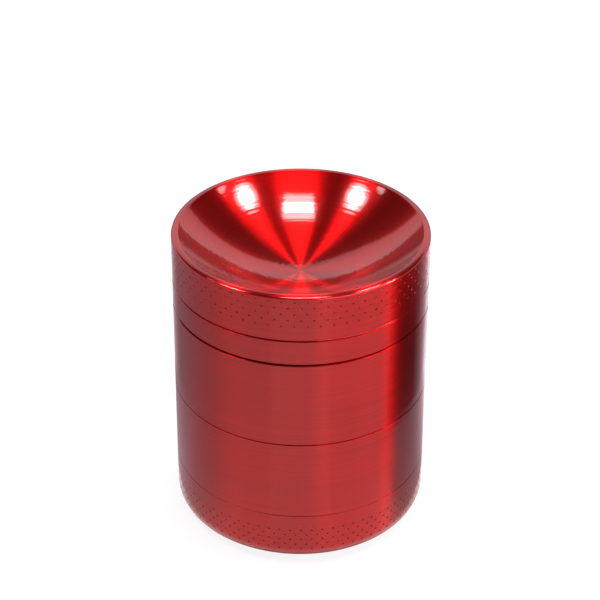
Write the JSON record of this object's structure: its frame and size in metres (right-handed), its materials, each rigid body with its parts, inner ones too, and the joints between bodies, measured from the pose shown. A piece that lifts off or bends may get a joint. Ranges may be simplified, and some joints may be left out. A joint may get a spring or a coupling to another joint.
{
  "type": "herb grinder",
  "caption": "Hand grinder for herbs and spices: a dished lid with teeth turns on a drilled, toothed chamber, screwed onto a screened storage chamber and a dish-shaped base",
  "frame": {"origin": "centre of the underside of the base, on the surface it stands on", "axes": "+Z is the turning axis and points up through the lid; the part is round, so X and Y are free; -Y faces the viewer"},
  "size_m": [0.05, 0.05, 0.0614],
  "materials": {
    "red_anodised": "turned and anodised red, satin",
    "woven_steel": "fine woven wire",
    "hoop_metal": "plain turned",
    "spring_steel": "drawn spring wire",
    "magnet_plating": "bright nickel plate",
    "white_nylon": "natural nylon"
  },
  "bodies": {
    "base": {"base": "red_anodised"},
    "screen": {"screen_mesh": "woven_steel", "screen_hoop": "hoop_metal", "screen_snap_ring": "spring_steel"},
    "storage": {"storage_chamber": "red_anodised"},
    "chamber_magnet": {"chamber_magnet": "magnet_plating"},
    "chamber": {"grinding_chamber": "red_anodised"},
    "ring": {"friction_ring": "white_nylon"},
    "lid": {"lid": "red_anodised", "lid_magnet": "magnet_plating"}
  },
  "joints": [
    {"name": "storage_rise", "type": "slide", "parent": "base", "child": "screen", "axis": [0, 0, 1], "range_m": [0, 0.00721]},
    {"name": "storage_unscrew", "type": "hinge", "parent": "screen", "child": "storage", "pos_m": [0, 0, 0.0113], "axis": [0, 0, 1], "range_deg": [0, 1440]},
    {"name": "chamber_rise", "type": "slide", "parent": "storage", "child": "chamber_magnet", "axis": [0, 0, 1], "range_m": [0, 0.00721]},
    {"name": "chamber_unscrew", "type": "hinge", "parent": "chamber_magnet", "child": "chamber", "pos_m": [0, 0, 0.0283], "axis": [0, 0, 1], "range_deg": [0, 1440]},
    {"name": "lid_lift", "type": "slide", "parent": "chamber", "child": "ring", "axis": [0, 0, 1], "range_m": [0, 0.03]},
    {"name": "lid_turn", "type": "hinge", "parent": "ring", "child": "lid", "pos_m": [0, 0, 0.0464], "axis": [0, 0, 1], "continuous": true}
  ],
  "couplings": [
    {"joint": "storage_rise", "follows": "storage_unscrew", "m_per_rad": 0.00028648},
    {"joint": "chamber_rise", "follows": "chamber_unscrew", "m_per_rad": 0.00028648}
  ]
}
